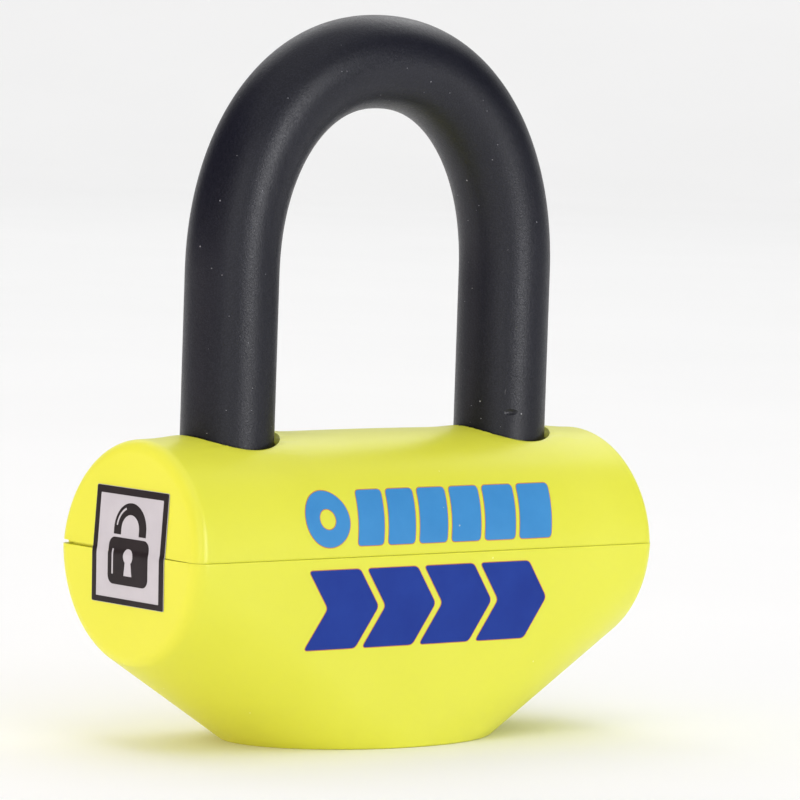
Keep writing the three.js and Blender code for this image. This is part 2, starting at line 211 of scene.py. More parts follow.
def bevel_obj(o, width, segments=3, angle=30):
    m = o.modifiers.new("bev", "BEVEL")
    m.width, m.segments, m.limit_method, m.angle_limit = width, segments, "ANGLE", math.radians(angle)
    m.harden_normals = False
    apply_mods(o)


# ------------------------------------------------------------------ cover form
def cover_points(c, wall, seg, rings, fsteps, esteps):
    P = []
    f = max(0.6, c["f"] - wall)
    hx, ry, rt = c["hx"] - wall, c["ry"] - wall * 1.08, c["rt"] - wall

    def ring(x, dr, k):
        for i in range(seg):
            t = 2 * math.pi * i / seg
            y = (ry - dr + k * c["cy"]) * math.cos(t)
            s = math.sin(t)
            z = AXIS_Z + ((rt - dr + k * c["ct"]) if s > 0 else (ry - dr + k * c["cy"])) * s
            lean = c["draft"] * abs(z - AXIS_Z)
            P.append((x - math.copysign(lean, x), y, z))

    for i in range(rings):
        u = -1 + 2 * (i + 0.5) / rings
        u *= 0.97
        ring(u * (hx - f), 0, 1 - (u * (hx - f) / hx) ** 2)
    k_end = 0.0
    for s in (-1, 1):
        for j in range(fsteps + 1):
            q = j / fsteps * math.pi / 2
            ring(s * (hx - f + f * math.sin(q)), f * (1 - math.cos(q)), (1 - ((hx - f) / hx) ** 2) * (1 - j / fsteps))
    A, B, e = FOOT_A - wall * 0.38, FOOT_B - wall * 0.95, (0.3 if wall > 0 else FOOT_EDGE)
    for j in range(esteps + 1):
        q = j / esteps * math.pi / 2
        for i in range(seg):
            t = 2 * math.pi * i / seg
            P.append(((A - e + e * math.cos(q)) * math.cos(t), (B - e + e * math.cos(q)) * math.sin(t), wall + e - e * math.sin(q)))
    return P


def outline(c, n=480):
    """The cover's plan outline at the parting plane: points with outward normals, in mm."""
    pts = []
    hx, f = c["hx"], c["f"]
    y_at = lambda x: c["ry"] + c["cy"] * (1 - (x / hx) ** 2)
    yf = y_at(hx - f)
    for i in range(61):
        x = -(hx - f) + 2 * (hx - f) * i / 60
        pts.append((x, -y_at(x)))
    for j in range(1, 13):
        q = j / 13 * math.pi / 2
        pts.append((hx - f + f * math.sin(q), -(yf - f + f * math.cos(q))))
    for i in range(41):
        pts.append((hx, -(yf - f) + 2 * (yf - f) * i / 40))
    for j in range(12, 0, -1):
        q = j / 13 * math.pi / 2
        pts.append((hx - f + f * math.sin(q), yf - f + f * math.cos(q)))
    for i in range(61):
        x = (hx - f) - 2 * (hx - f) * i / 60
        pts.append((x, y_at(x)))
    for j in range(1, 13):
        q = j / 13 * math.pi / 2
        pts.append((-(hx - f + f * math.sin(q)), yf - f + f * math.cos(q)))
    for i in range(41):
        pts.append((-hx, (yf - f) - 2 * (yf - f) * i / 40))
    for j in range(12, 0, -1):
        q = j / 13 * math.pi / 2
        pts.append((-(hx - f + f * math.sin(q)), -(yf - f + f * math.cos(q))))
    P = np.array(pts)
    T = np.roll(P, -1, 0) - np.roll(P, 1, 0)
    T /= np.linalg.norm(T, axis=1)[:, None]
    Nn = np.c_[T[:, 1], -T[:, 0]]
    return P, Nn


def parting_cutter(name, c, sign, r):
    """Everything on the far side of the parting face, flared so that the edge it leaves is round. sign +1 keeps the upper side."""
    P, Nn = outline(c)
    g = GAP / 2
    prof = [(4.0, -60 * 1.0), (4.0, g + r + 1.4)]
    for j in range(5, -1, -1):
        a = j / 5 * math.pi / 2 * 0.93
        prof.append((-r + r * math.sin(a), g + r - r * math.cos(a)))
    rings = [[(P[i, 0] + Nn[i, 0] * d, P[i, 1] + Nn[i, 1] * d, AXIS_Z + sign * z) for i in range(len(P))] for d, z in prof]
    return loft(name, rings)


def surf_z(c, x, y):
    """Height of the barrel's top over (x, y), in mm."""
    hx = c["hx"]
    k = 1 - (x / hx) ** 2
    ry, rt = c["ry"] + c["cy"] * k, c["rt"] + c["ct"] * k
    return AXIS_Z + rt * math.sqrt(max(0.0, 1 - (y / ry) ** 2)) + collar(x, y)


def collar(x, y):
    """The low swelling of the moulding around each leg hole."""
    h = 0.0
    for s in (-1, 1):
        r = math.hypot(x - s * LEG_X, y)
        t = min(1.0, max(0.0, (13.4 - r) / 4.2))
        h += 0.30 * t * t * (3 - 2 * t)
    return h


def leg_cutter(name, c, cx, top=9.0, w=0.24, seg=144):
    """A leg hole with a crisp mouth that follows the barrel's curve, and a sloping lead-in down to the bar."""
    rings = [[] for _ in range(11)]
    for i in range(seg):
        t = 2 * math.pi * i / seg
        ct, st = math.cos(t), math.sin(t)
        at = lambda rho: surf_z(c, cx + rho * ct, rho * st)
        zP = at(top + w)
        slope = (at(top + w + 0.05) - at(top + w - 0.05)) / 0.1
        zQ = zP - w * slope
        Pp, Q, E = (top + w, zP + 0.004), (top, zQ), (top, zQ - w)
        out = (top + w + 2.0, zP + 2.0 * slope + 1.1)
        pts = [(HOLE_R, AXIS_Z + 4.0), (HOLE_R, zQ - 1.15)]
        for j in range(1, 7):
            s = j / 7
            pts.append(((1 - s) ** 2 * E[0] + 2 * s * (1 - s) * Q[0] + s * s * Pp[0], (1 - s) ** 2 * E[1] + 2 * s * (1 - s) * Q[1] + s * s * Pp[1]))
        pts += [Pp, out, (top + w + 2.0, 62.0)]
        for k, (rho, z) in enumerate(pts):
            rings[k].append((cx + rho * ct, rho * st, z))
    return loft(name, rings)


up_hull = hull("cover_upper", cover_points(UPPER, 0, 256, 84, 10, 2))
for v in up_hull.data.vertices:
    if v.co.z > AXIS_Z + 4.0:
        v.co.z += collar(v.co.x, v.co.y) * min(1.0, (v.co.z - AXIS_Z - 4.0) / 9.0)
up_in = hull("tmp_in", cover_points(UPPER, WALL, 96, 8, 3, 2))
boolean(up_hull, up_in)
boolean(up_hull, parting_cutter("tmp_part", UPPER, +1, 0.11))
wedge = []
for x0, x1 in ((-52.5, -49.9),):
    for x in (x0, x1):
        wedge += [(x, -17.0, AXIS_Z - 0.2), (x, -17.0, AXIS_Z + 0.05), (x, 14.0, AXIS_Z + 0.24), (x, 22.0, AXIS_Z + 0.62), (x, 22.0, AXIS_Z - 0.2)]
boolean(up_hull, hull("tmp_wedge", wedge))
notch = [(x, y, z) for x, y in ((-53.0, 16.9), (-49.6, 16.9), (-48.9, 17.6), (-48.9, 22.0), (-53.0, 22.0)) for z in (AXIS_Z - 0.2, AXIS_Z + 0.7)]
boolean(up_hull, hull("tmp_notch", notch))
rebate = hull("tmp_reb", cover_points(UPPER, 1.25, 96, 8, 3, 2))
lim = box_obj("tmp_lim", -70, 70, -40, 40, -20, AXIS_Z + 2.5)
boolean(rebate, lim, "INTERSECT")
boolean(up_hull, rebate)
for s in (-1, 1):
    boolean(up_hull, leg_cutter("tmp_leg", UPPER, s * LEG_X))
finish_mesh(up_hull)

low_hull = hull("cover_lower", cover_points(LOWER, 0, 256, 26, 10, 8))
low_in = hull("tmp_in2", cover_points(LOWER, WALL, 96, 8, 3, 2))
boolean(low_hull, low_in)
boolean(low_hull, parting_cutter("tmp_part2", LOWER, -1, 0.11))


def flared(r, z1, flare=0.45, seg=96, cx=0.0, cy=0.0, z0=-1.0, name="tmp_f"):
    prof = [(0, z0), (r + flare + 0.7, z0), (r + flare + 0.7, -0.25)]
    for j in range(0, 7):
        a = math.pi / 2 * (0.08 + 0.92 * j / 6)
        prof.append((r + flare * (1 - math.sin(a)), flare * (1 - math.cos(a))))
    prof += [(r, z1), (0, z1)]
    return turned(name, prof, seg, cx, cy)


boolean(low_hull, flared(6.2, 2.9))
# slot for the shutter's thumb nib, with a rounded mouth
slot_rings = []
for off, z in [(1.1, -1.0), (0.75, -0.2), (0.42, 0.04), (0.25, 0.12), (0.1, 0.28), (0.0, 0.55), (0.0, 2.9)]:
    ring = []
    hw = 1.4 + off
    for cxx, a0 in ((21.6, -90), (8.4, 90)):
        for j in range(13):
            a = math.radians(a0 + 180 * j / 12)
            ring.append((cxx + hw * math.cos(a), hw * math.sin(a), z))
    slot_rings.append(ring)
boolean(low_hull, loft("tmp_slot", slot_rings))
for sx in (-1, 1):
    for sy in (-1, 1):
        boolean(low_hull, flared(2.9, 1.6, 0.35, 48, sx * 13.5, sy * 8.9))
        boolean(low_hull, turned("tmp_s", [(0, 1), (1.7, 1), (1.7, 3.4), (0, 3.4)], 32, sx * 13.5, sy * 8.9))
# tongue that sits in the upper cover's rebate
tongue = hull("tmp_t", cover_points(UPPER, 1.6, 96, 8, 3, 2))
t_in = hull("tmp_ti", cover_points(LOWER, WALL + 0.02, 96, 8, 3, 2))
boolean(tongue, t_in)
lim = box_obj("tmp_lim", -70, 70, -40, 40, AXIS_Z - 2.0, AXIS_Z + 2.1)
boolean(tongue, lim, "INTERSECT")
boolean(low_hull, tongue, "UNION")
# shutter rails
for s in (-1, 1):
    rail = box_obj("tmp_r", -8.4, 9.4, min(s * 7.35, s * 8.35), max(s * 7.35, s * 8.35), WALL - 0.5, 4.2)
    boolean(low_hull, rail, "UNION")
finish_mesh(low_hull)


# ------------------------------------------------------------------ shackle
def bow(q):
    c, s = math.cos(q), max(math.sin(q), 0.0)
    e = 2 / BOW_N
    return Vector((-LEG_X * math.copysign(abs(c) ** e, c), 0, LEG_TOP_Z + BOW_H * s ** e))


def shackle_mesh():
    line = []
    n_leg, n_bow = 60, 150
    fine = [bow(math.pi * i / 4000) for i in range(4001)]
    acc = [0.0]
    for a, b in zip(fine[:-1], fine[1:]):
        acc.append(acc[-1] + (b - a).length)
    for i in range(n_leg):
        line.append(Vector((-LEG_X, 0, LEG_FOOT_Z + (LEG_TOP_Z - LEG_FOOT_Z) * i / n_leg)))
    k = 0
    for i in range(n_bow + 1):
        d = acc[-1] * i / n_bow
        while k < len(acc) - 2 and acc[k + 1] < d:
            k += 1
        t = (d - acc[k]) / max(1e-9, acc[k + 1] - acc[k])
        line.append(fine[k].lerp(fine[k + 1], t))
    for i in range(1, n_leg + 1):
        line.append(Vector((LEG_X, 0, LEG_TOP_Z - (LEG_TOP_Z - LEG_FOOT_Z) * i / n_leg)))
    seg = 80
    rings = []

    def ring(p, t, r):
        side = Vector((0, 1, 0))
        nrm = side.cross(t).normalized()
        return [p + nrm * (r * math.cos(2 * math.pi * i / seg)) + side * (r * math.sin(2 * math.pi * i / seg)) for i in range(seg)]

    c = 2.5
    first, last = line[0], line[-1]
    foot = [(0.0, BAR_R - c - 0.2), (0.05, BAR_R - c - 0.06), (0.16, BAR_R - c + 0.1), (c - 0.25, BAR_R - 0.3), (c - 0.02, BAR_R - 0.12), (c + 0.35, BAR_R)]
    for dz, r in foot:
        rings.append(ring(first + Vector((0, 0, dz)), Vector((0, 0, 1)), r))
    for i in range(1, len(line) - 1):
        p = line[i]
        if i < n_leg and p.z < LEG_FOOT_Z + c + 0.8:
            continue
        if i > n_leg + n_bow and p.z < LEG_FOOT_Z + c + 0.8:
            continue
        t = (line[i + 1] - line[i - 1]).normalized()
        rings.append(ring(p, t, BAR_R))
    for dz, r in reversed(foot):
        rings.append(ring(last + Vector((0, 0, dz)), Vector((0, 0, -1)), r))
    o = loft("shackle_bar", rings)
    for s in (-1, 1):
        n0, n1 = LEG_X - BAR_R - 1, LEG_X - BAR_R + 4.05
        # notch with rounded corners and a small lead-in at its mouth
        h = 5.2
        prof = []
        prof += [(n0, -h - 0.9), (n0, h + 0.9), (LEG_X - BAR_R - 0.1, h + 0.9)]
        prof += [(LEG_X - BAR_R + 0.9, h)]
        for j in range(6):
            a = math.pi / 2 * j / 5
            prof.append((n1 - 0.8 + 0.8 * math.sin(a), h - 0.8 + 0.8 * math.cos(a)))
        for j in range(6):
            a = math.pi / 2 * j / 5
            prof.append((n1 - 0.8 + 0.8 * math.cos(a), -h + 0.8 - 0.8 * math.sin(a)))
        prof += [(LEG_X - BAR_R + 0.9, -h), (LEG_X - BAR_R - 0.1, -h - 0.9)]
        rr = [[(s * x, y, AXIS_Z + z) for x, z in prof] for y in (-12, 12)]
        boolean(o, loft("tmp_notch", rr))
    finish_mesh(o)
    return o


shackle = shackle_mesh()


# ------------------------------------------------------------------ materials
def lin(r, g, b):
    f = lambda v: (v / 255 / 12.92) if v / 255 <= 0.04045 else ((v / 255 + 0.055) / 1.055) ** 2.4
    return (f(r), f(g), f(b), 1.0)


class Mat:
    """A small builder for node materials in the row frame's own coordinates."""

    def __init__(self, name):
        self.m = bpy.data.materials.new(name)
        self.m.use_nodes = True
        self.t = self.m.node_tree
        self.t.nodes.clear()
        self.out = self.t.nodes.new("ShaderNodeOutputMaterial")
        self.b = self.t.nodes.new("ShaderNodeBsdfPrincipled")
        self.t.links.new(self.b.outputs["BSDF"], self.out.inputs["Surface"])
        self.co = self.t.nodes.new("ShaderNodeTexCoord").outputs["Object"]

    def put(self, sock, v):
        if isinstance(v, bpy.types.NodeSocket):
            self.t.links.new(v, sock)
        else:
            sock.default_value = v

    def set(self, **kw):
        names = {"color": "Base Color", "rough": "Roughness", "metal": "Metallic", "coat": "Coat Weight", "coat_rough": "Coat Roughness", "spec": "Specular IOR Level", "normal": "Normal", "sheen": "Sheen Weight", "sss": "Subsurface Weight", "ior": "IOR", "aniso": "Anisotropic"}
        for k, v in kw.items():
            self.put(self.b.inputs[names[k]], v)
        return self

    def math(self, op, a, b=0.0, c=0.0, clamp=False):
        n = self.t.nodes.new("ShaderNodeMath")
        n.operation, n.use_clamp = op, clamp
        self.put(n.inputs[0], a)
        self.put(n.inputs[1], b)
        self.put(n.inputs[2], c)
        return n.outputs[0]

    def noise(self, scale, detail=3.0, rough=0.55, dist=0.0, vec=None, out="Fac"):
        n = self.t.nodes.new("ShaderNodeTexNoise")
        self.put(n.inputs["Vector"], vec or self.co)
        n.inputs["Scale"].default_value = scale
        n.inputs["Detail"].default_value = detail
        n.inputs["Roughness"].default_value = rough
        n.inputs["Distortion"].default_value = dist
        return n.outputs[out]

    def voronoi(self, scale, feature="F1", vec=None, out="Distance", rand=1.0):
        n = self.t.nodes.new("ShaderNodeTexVoronoi")
        n.feature = feature
        self.put(n.inputs["Vector"], vec or self.co)
        n.inputs["Scale"].default_value = scale
        n.inputs["Randomness"].default_value = rand
        return n.outputs[out]

    def ramp(self, fac, stops, interp="LINEAR"):
        n = self.t.nodes.new("ShaderNodeValToRGB")
        n.color_ramp.interpolation = interp
        e = n.color_ramp.elements
        while len(e) < len(stops):
            e.new(0.5)
        for el, (p, c) in zip(e, stops):
            el.position = p
            el.color = c if isinstance(c, tuple) else (c, c, c, 1)
        self.put(n.inputs["Fac"], fac)
        return n.outputs["Color"]

    def mapr(self, v, a, b, c, d):
        n = self.t.nodes.new("ShaderNodeMapRange")
        self.put(n.inputs["Value"], v)
        for k, x in zip(("From Min", "From Max", "To Min", "To Max"), (a, b, c, d)):
            n.inputs[k].default_value = x
        return n.outputs["Result"]

    def mix(self, fac, a, b, mode="MIX"):
        n = self.t.nodes.new("ShaderNodeMix")
        n.data_type, n.blend_type = "RGBA", mode
        self.put(n.inputs["Factor"], fac)
        self.put([s for s in n.inputs if s.name == "A" and s.type == "RGBA"][0], a)
        self.put([s for s in n.inputs if s.name == "B" and s.type == "RGBA"][0], b)
        return [s for s in n.outputs if s.type == "RGBA"][0]

    def mapping(self, scale=(1, 1, 1), rot=(0, 0, 0), loc=(0, 0, 0), vec=None):
        n = self.t.nodes.new("ShaderNodeMapping")
        self.put(n.inputs["Vector"], vec or self.co)
        n.inputs["Scale"].default_value = scale
        n.inputs["Rotation"].default_value = rot
        n.inputs["Location"].default_value = loc
        return n.outputs["Vector"]

    def xyz(self, vec=None):
        n = self.t.nodes.new("ShaderNodeSeparateXYZ")
        self.put(n.inputs[0], vec or self.co)
        return n.outputs

    def bump(self, height, strength=0.2, dist=0.0002, normal=None):
        n = self.t.nodes.new("ShaderNodeBump")
        n.inputs["Strength"].default_value = strength
        n.inputs["Distance"].default_value = dist
        self.put(n.inputs["Height"], height)
        if normal:
            self.put(n.inputs["Normal"], normal)
        return n.outputs["Normal"]

    def specks(self, scale, size, keep, vec=None):
        """Sparse small dots: 1 inside a dot. size is the dot's share of a cell, keep the share of cells that have one."""
        n = self.t.nodes.new("ShaderNodeTexVoronoi")
        self.put(n.inputs["Vector"], vec or self.co)
        n.inputs["Scale"].default_value = scale
        pick = self.math("LESS_THAN", self.xyz(n.outputs["Color"])[0], keep)
        dot = self.math("LESS_THAN", n.outputs["Distance"], size)
        return self.math("MULTIPLY", pick, dot)

    def edges(self, radius=0.0006, lo=0.0, hi=1.0):
        """1 along convex edges, from the mesh's own pointiness."""
        g = self.t.nodes.new("ShaderNodeNewGeometry")
        return self.mapr(g.outputs["Pointiness"], 0.52, 0.60, lo, hi)


def cover_material():
    m = Mat("cover_yellow_plastic")
    x, y, z = m.xyz()
    broad = m.noise(22, 3, 0.5)
    col = m.ramp(broad, [(0.30, lin(220, 221, 62)), (0.72, lin(226, 227, 72))])
    fine = m.noise(900, 2, 0.6)
    col = m.mix(m.math("MULTIPLY", fine, 0.05), col, lin(205, 208, 50))
    # pale dust specks and a few hair scratches
    sp = m.specks(620, 0.10, 0.018)
    col = m.mix(m.math("MULTIPLY", sp, 0.55), col, lin(250, 250, 190))
    sv = m.mapping(scale=(9, 60, 260), rot=(0.0, 0.55, 0.3))
    sc = m.math("GREATER_THAN", m.noise(1.0, 2, 0.5, 0.2, sv), 0.735)
    brk = m.math("GREATER_THAN", m.noise(120, 2), 0.62)
    scr = m.math("MULTIPLY", sc, brk)
    col = m.mix(m.math("MULTIPLY", scr, 0.35), col, lin(248, 248, 175))
    # handling grime gathers very faintly near the foot
    low = m.mapr(z, 0.0, 0.009, 1.0, 0.0)
    grime = m.math("MULTIPLY", low, m.mapr(m.noise(60, 5, 0.6), 0.42, 0.75, 0.0, 0.20), clamp=True)
    col = m.mix(grime, col, lin(170, 165, 60))
    r = m.mapr(m.noise(45, 4, 0.6), 0.3, 0.7, 0.33, 0.41)
    r = m.math("ADD", r, m.math("MULTIPLY", scr, 0.15))
    h = m.math("ADD", m.math("MULTIPLY", m.noise(1500, 2, 0.5), 0.5), m.math("MULTIPLY", m.noise(260, 3, 0.5), 0.5))
    h = m.math("SUBTRACT", h, m.math("MULTIPLY", scr, 0.3))
    nrm = m.bump(h, 0.22, 0.00006)
    m.set(color=col, rough=r, normal=nrm)
    m.b.inputs["Specular IOR Level"].default_value = 0.42
    m.b.inputs["Subsurface Weight"].default_value = 0.15
    m.b.inputs["Subsurface Radius"].default_value = (1.0, 0.95, 0.12)
    m.b.inputs["Subsurface Scale"].default_value = 0.0016
    return m.m


def shackle_material():
    m = Mat("shackle_black_coating")
    x, y, z = m.xyz()
    broad = m.noise(30, 3, 0.5)
    col = m.ramp(broad, [(0.3, lin(14, 15, 26)), (0.75, lin(18, 19, 32))])
    grain = m.mapr(m.noise(3900, 2, 0.75), 0.42, 0.66, 0.0, 1.0)
    col = m.mix(m.math("MULTIPLY", grain, 0.34), col, lin(48, 49, 60))
    sp = m.specks(520, 0.072, 0.055)
    sp2 = m.specks(980, 0.095, 0.07)
    spk = m.math("MAXIMUM", m.math("MULTIPLY", sp, 0.9), m.math("MULTIPLY", sp2, 0.6))
    col = m.mix(spk, col, lin(150, 150, 158))
    sv = m.mapping(scale=(40, 40, 7), rot=(0.5, 0.35, 0.0))
    sc = m.math("GREATER_THAN", m.noise(4.0, 1.5, 0.5, 0.6, sv), 0.765)
    brk = m.math("GREATER_THAN", m.noise(70, 2, 0.5), 0.56)
    scr = m.math("MULTIPLY", sc, brk)
    col = m.mix(m.math("MULTIPLY", scr, 0.22), col, lin(120, 120, 128))
    # rubbed, brighter coating at the notch and foot edges
    worn = m.math("MULTIPLY", m.edges(), m.mapr(m.noise(420, 4, 0.6), 0.40, 0.60, 0.2, 1.0))
    worn = m.math("MULTIPLY", worn, m.mapr(z, 0.046, 0.042, 0.0, 1.0), clamp=True)
    col = m.mix(worn, col, lin(150, 150, 154))
    r = m.mapr(m.noise(55, 4, 0.6), 0.3, 0.7, 0.37, 0.44)
    r = m.math("ADD", r, m.mapr(m.noise(3000, 2, 0.7), 0.34, 0.66, -0.07, 0.07))
    r = m.math("SUBTRACT", r, m.math("MULTIPLY", worn, 0.12))
    h = m.math("ADD", m.math("MULTIPLY", m.noise(2500, 2, 0.7), 0.9), m.math("MULTIPLY", m.noise(900, 2, 0.5), 0.4))
    h = m.math("ADD", h, m.math("MULTIPLY", spk, 1.2))
    h = m.math("SUBTRACT", h, m.math("MULTIPLY", scr, 0.5))
    # one shallow knock in the coating of the right leg
    dx = m.math("SUBTRACT", x, DENT[0] * MM)
    dy = m.math("SUBTRACT", y, DENT[1] * MM)
    dz = m.math("SUBTRACT", z, DENT[2] * MM)
    dh = m.math("POWER", m.math("MULTIPLY", m.math("ADD", m.math("ABSOLUTE", dx), m.math("ABSOLUTE", dy)), 1 / 0.00155), 2.0)
    dv = m.math("POWER", m.math("MULTIPLY", dz, 1 / 0.00055), 2.0)
    dent = m.mapr(m.math("SQRT", m.math("ADD", dh, dv)), 0.25, 1.1, 1.0, 0.0)
    col = m.mix(m.math("MULTIPLY", dent, 0.35, clamp=True), col, lin(12, 12, 15))
    nrm = m.bump(h, 0.62, 0.00008)
    nrm = m.bump(m.math("MULTIPLY", dent, -1.0), 0.9, 0.00025, nrm)
    m.set(color=col, rough=r, normal=nrm)
    m.b.inputs["Specular IOR Level"].default_value = 0.36
    return m.m


DENT = (26.9, -7.3, 56.5)


def metal_material(name, base, dark, rough=(0.24, 0.36), grain=None, metal=1.0, edge=None, pits=0.0):
    """Worked metal: grain direction from a stretched noise, cloudy oil film, bright edges."""
    m = Mat(name)
    cloud = m.noise(90, 5, 0.6)
    col = m.ramp(cloud, [(0.28, dark), (0.72, base)])
    g = grain or (1, 1, 1)
    gv = m.mapping(scale=g)
    gn = m.noise(900, 2, 0.6, 0.0, gv)
    col = m.mix(m.math("MULTIPLY", gn, 0.25), col, dark)
    e = m.edges()
    e = m.math("MULTIPLY", e, m.mapr(m.noise(600, 3), 0.35, 0.6, 0.3, 1.0), clamp=True)
    col = m.mix(e, col, edge or base)
    r = m.mapr(m.noise(160, 4, 0.6), 0.3, 0.7, rough[0], rough[1])
    h = m.math("ADD", m.math("MULTIPLY", gn, 0.7), m.math("MULTIPLY", m.noise(2400, 2), 0.3))
    if pits:
        h = m.math("SUBTRACT", h, m.math("MULTIPLY", m.specks(900, 0.35, 0.2), pits))
    m.set(color=col, rough=r, normal=m.bump(h, 0.25, 0.00005))
    m.b.inputs["Metallic"].default_value = metal
    return m.m


def plain_ink(name, a, b, rough=(0.34, 0.44)):
    m = Mat(name)
    col = m.ramp(m.noise(140, 4, 0.6), [(0.3, a), (0.75, b)])
    pin = m.specks(700, 0.14, 0.03)
    col = m.mix(m.math("MULTIPLY", pin, 0.4), col, lin(220, 225, 180))
    r = m.mapr(m.noise(120, 3), 0.3, 0.7, rough[0], rough[1])
    m.set(color=col, rough=r, normal=m.bump(m.noise(1500, 2), 0.15, 0.00004))
    m.b.inputs["Specular IOR Level"].default_value = 0.16
    return m.m


def label_material():
    m = Mat("label_vinyl_field")
    x, y, z = m.xyz()
    col = m.ramp(m.noise(160, 4, 0.6), [(0.3, lin(186, 184, 190)), (0.75, lin(195, 193, 199))])
    fibre = m.noise(2200, 2, 0.7)
    col = m.mix(m.math("MULTIPLY", fibre, 0.10), col, lin(160, 152, 160))
    r = m.mapr(m.noise(90, 4), 0.3, 0.7, 0.30, 0.42)
    m.set(color=col, rough=r, normal=m.bump(m.noise(1200, 3), 0.18, 0.00004))
    return m.m


def plastic_material(name, a, b, rough=(0.45, 0.58)):
    m = Mat(name)
    col = m.ramp(m.noise(120, 4, 0.6), [(0.3, a), (0.75, b)])
    worn = m.math("MULTIPLY", m.edges(), 0.35, clamp=True)
    col = m.mix(worn, col, lin(90, 90, 94))
    r = m.mapr(m.noise(200, 4), 0.3, 0.7, rough[0], rough[1])
    h = m.math("ADD", m.voronoi(1700), m.math("MULTIPLY", m.noise(900, 3), 0.5))
    m.set(color=col, rough=r, normal=m.bump(h, 0.3, 0.00006))
    return m.m


YEL = cover_material()
BLK = shackle_material()
LBL = label_material()
INK_BLACK = plain_ink("ink_black", lin(34, 28, 30), lin(42, 35, 37), (0.32, 0.42))
INK_LIGHT = plain_ink("ink_light_blue", lin(58, 134, 196), lin(66, 142, 203))
INK_DARK = plain_ink("ink_dark_blue", lin(20, 50, 140), lin(26, 58, 150))
INK_EDGE = plain_ink("ink_underprint", lin(196, 120, 70), lin(206, 132, 78))
STEEL = metal_material("steel_turned", lin(168, 171, 176), lin(128, 131, 137), (0.26, 0.40), (14, 1, 1), edge=lin(215, 216, 220))
STEEL_GROUND = metal_material("steel_ground", lin(205, 207, 211), lin(165, 168, 174), (0.18, 0.30), (1, 12, 12), edge=lin(235, 236, 238))
STEEL_STAMPED = metal_material("steel_stamped", lin(200, 201, 203), lin(158, 160, 164), (0.24, 0.36), (1, 1, 20), edge=lin(232, 232, 235), pits=0.4)
ZINC_CAST = metal_material("zinc_cast", lin(168, 170, 173), lin(128, 130, 134), (0.42, 0.58), None, 0.9, edge=lin(198, 199, 202), pits=0.7)
BRASS_M = metal_material("brass_machined", lin(214, 178, 92), lin(168, 132, 58), (0.24, 0.38), (1, 1, 16), edge=lin(240, 214, 140))
SCREW_M = metal_material("screw_black_steel", lin(96, 97, 101), lin(62, 63, 67), (0.30, 0.44), (1, 1, 6), edge=lin(160, 160, 165))
DARK = plastic_material("shutter_black_plastic", lin(27, 27, 30), lin(34, 34, 37))


def use(o, mat):
    o.data.materials.clear()
    o.data.materials.append(mat)


# carried-over CAD nodes keep their shape and take worked-metal surfaces
for names, mat in (
    (("crossbar_tube", "left_end_plug", "right_end_plug", "barrel_housing"), STEEL),
    (("upper_guide", "lower_guide", "scroll_cam"), ZINC_CAST),
    (("cylinder_shell", "plug_core"), BRASS_M),
    (("retaining_pin_left", "retaining_pin_right", "retaining_ring", "side_bar"), STEEL_GROUND),
    (("front_disc",) + tuple("detainer_disc_%d" % i for i in range(1, 8)), STEEL_STAMPED),
    (("left_bolt", "right_bolt"), STEEL_GROUND),
):
    for n in names:
        o = N[n]
        if o.data.materials:
            for i in range(len(o.data.materials)):
                o.data.materials[i] = mat
        else:
            o.data.materials.append(mat)

use(up_hull, YEL)
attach(up_hull, "lock_body")
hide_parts("upper_cover")
use(low_hull, YEL)
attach(low_hull, "lock_body")
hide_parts("lower_cover")
use(shackle, BLK)
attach(shackle, "shackle_body")
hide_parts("shackle")


# ------------------------------------------------------------------ end label
def label_x(dz):
    """Outer surface of the sticker: it steps in over the parting line and leans with the upper cover."""
    lo, hi = -(LOWER["hx"] + 0.17) + LOWER["draft"] * max(-dz, 0), -(UPPER["hx"] + 0.17) + UPPER["draft"] * max(dz, 0)
    t = min(1.0, max(0.0, (dz + 0.6) / 1.3))
    t = t * t * (3 - 2 * t)
    return lo + (hi - lo) * t


def rounded(x0, x1, z0, z1, r, n=6):
    out = []
    for cx, cz, a0 in ((x1 - r, z0 + r, -90), (x1 - r, z1 - r, 0), (x0 + r, z1 - r, 90), (x0 + r, z0 + r, 180)):
        for j in range(n + 1):
            a = math.radians(a0 + 90 * j / n)
            out.append((cx + r * math.cos(a), cz + r * math.sin(a)))
    return out


def flat_cut(polys, us, vs):
    """A planar mesh of polygons, given as (outline, holes), cut along the grid lines us and vs: returns verts (u, v) and faces."""
    bm = bmesh.new()
    for outline_, holes in polys:
        b2 = bmesh.new()
        edges = []
        for loop in [outline_] + list(holes):
            vv = [b2.verts.new((p[0], p[1], 0)) for p in loop]
            edges += [b2.edges.new((vv[i], vv[(i + 1) % len(vv)])) for i in range(len(vv))]
        bmesh.ops.triangle_fill(b2, use_beauty=True, use_dissolve=False, edges=edges, normal=(0, 0, 1))
        me = bpy.data.meshes.new("t")
        b2.to_mesh(me)
        b2.free()
        bm.from_mesh(me)
        bpy.data.meshes.remove(me)
    for u in us:
        bmesh.ops.bisect_plane(bm, geom=bm.verts[:] + bm.edges[:] + bm.faces[:], dist=1e-5, plane_co=(u, 0, 0), plane_no=(1, 0, 0))
    for v in vs:
        bmesh.ops.bisect_plane(bm, geom=bm.verts[:] + bm.edges[:] + bm.faces[:], dist=1e-5, plane_co=(0, v, 0), plane_no=(0, 1, 0))
    bmesh.ops.remove_doubles(bm, verts=bm.verts, dist=1e-4)
    bm.verts.index_update()
    verts = [(v.co.x, v.co.y) for v in bm.verts]
    faces = [[v.index for v in f.verts] for f in bm.faces]
    bm.free()
    return verts, faces


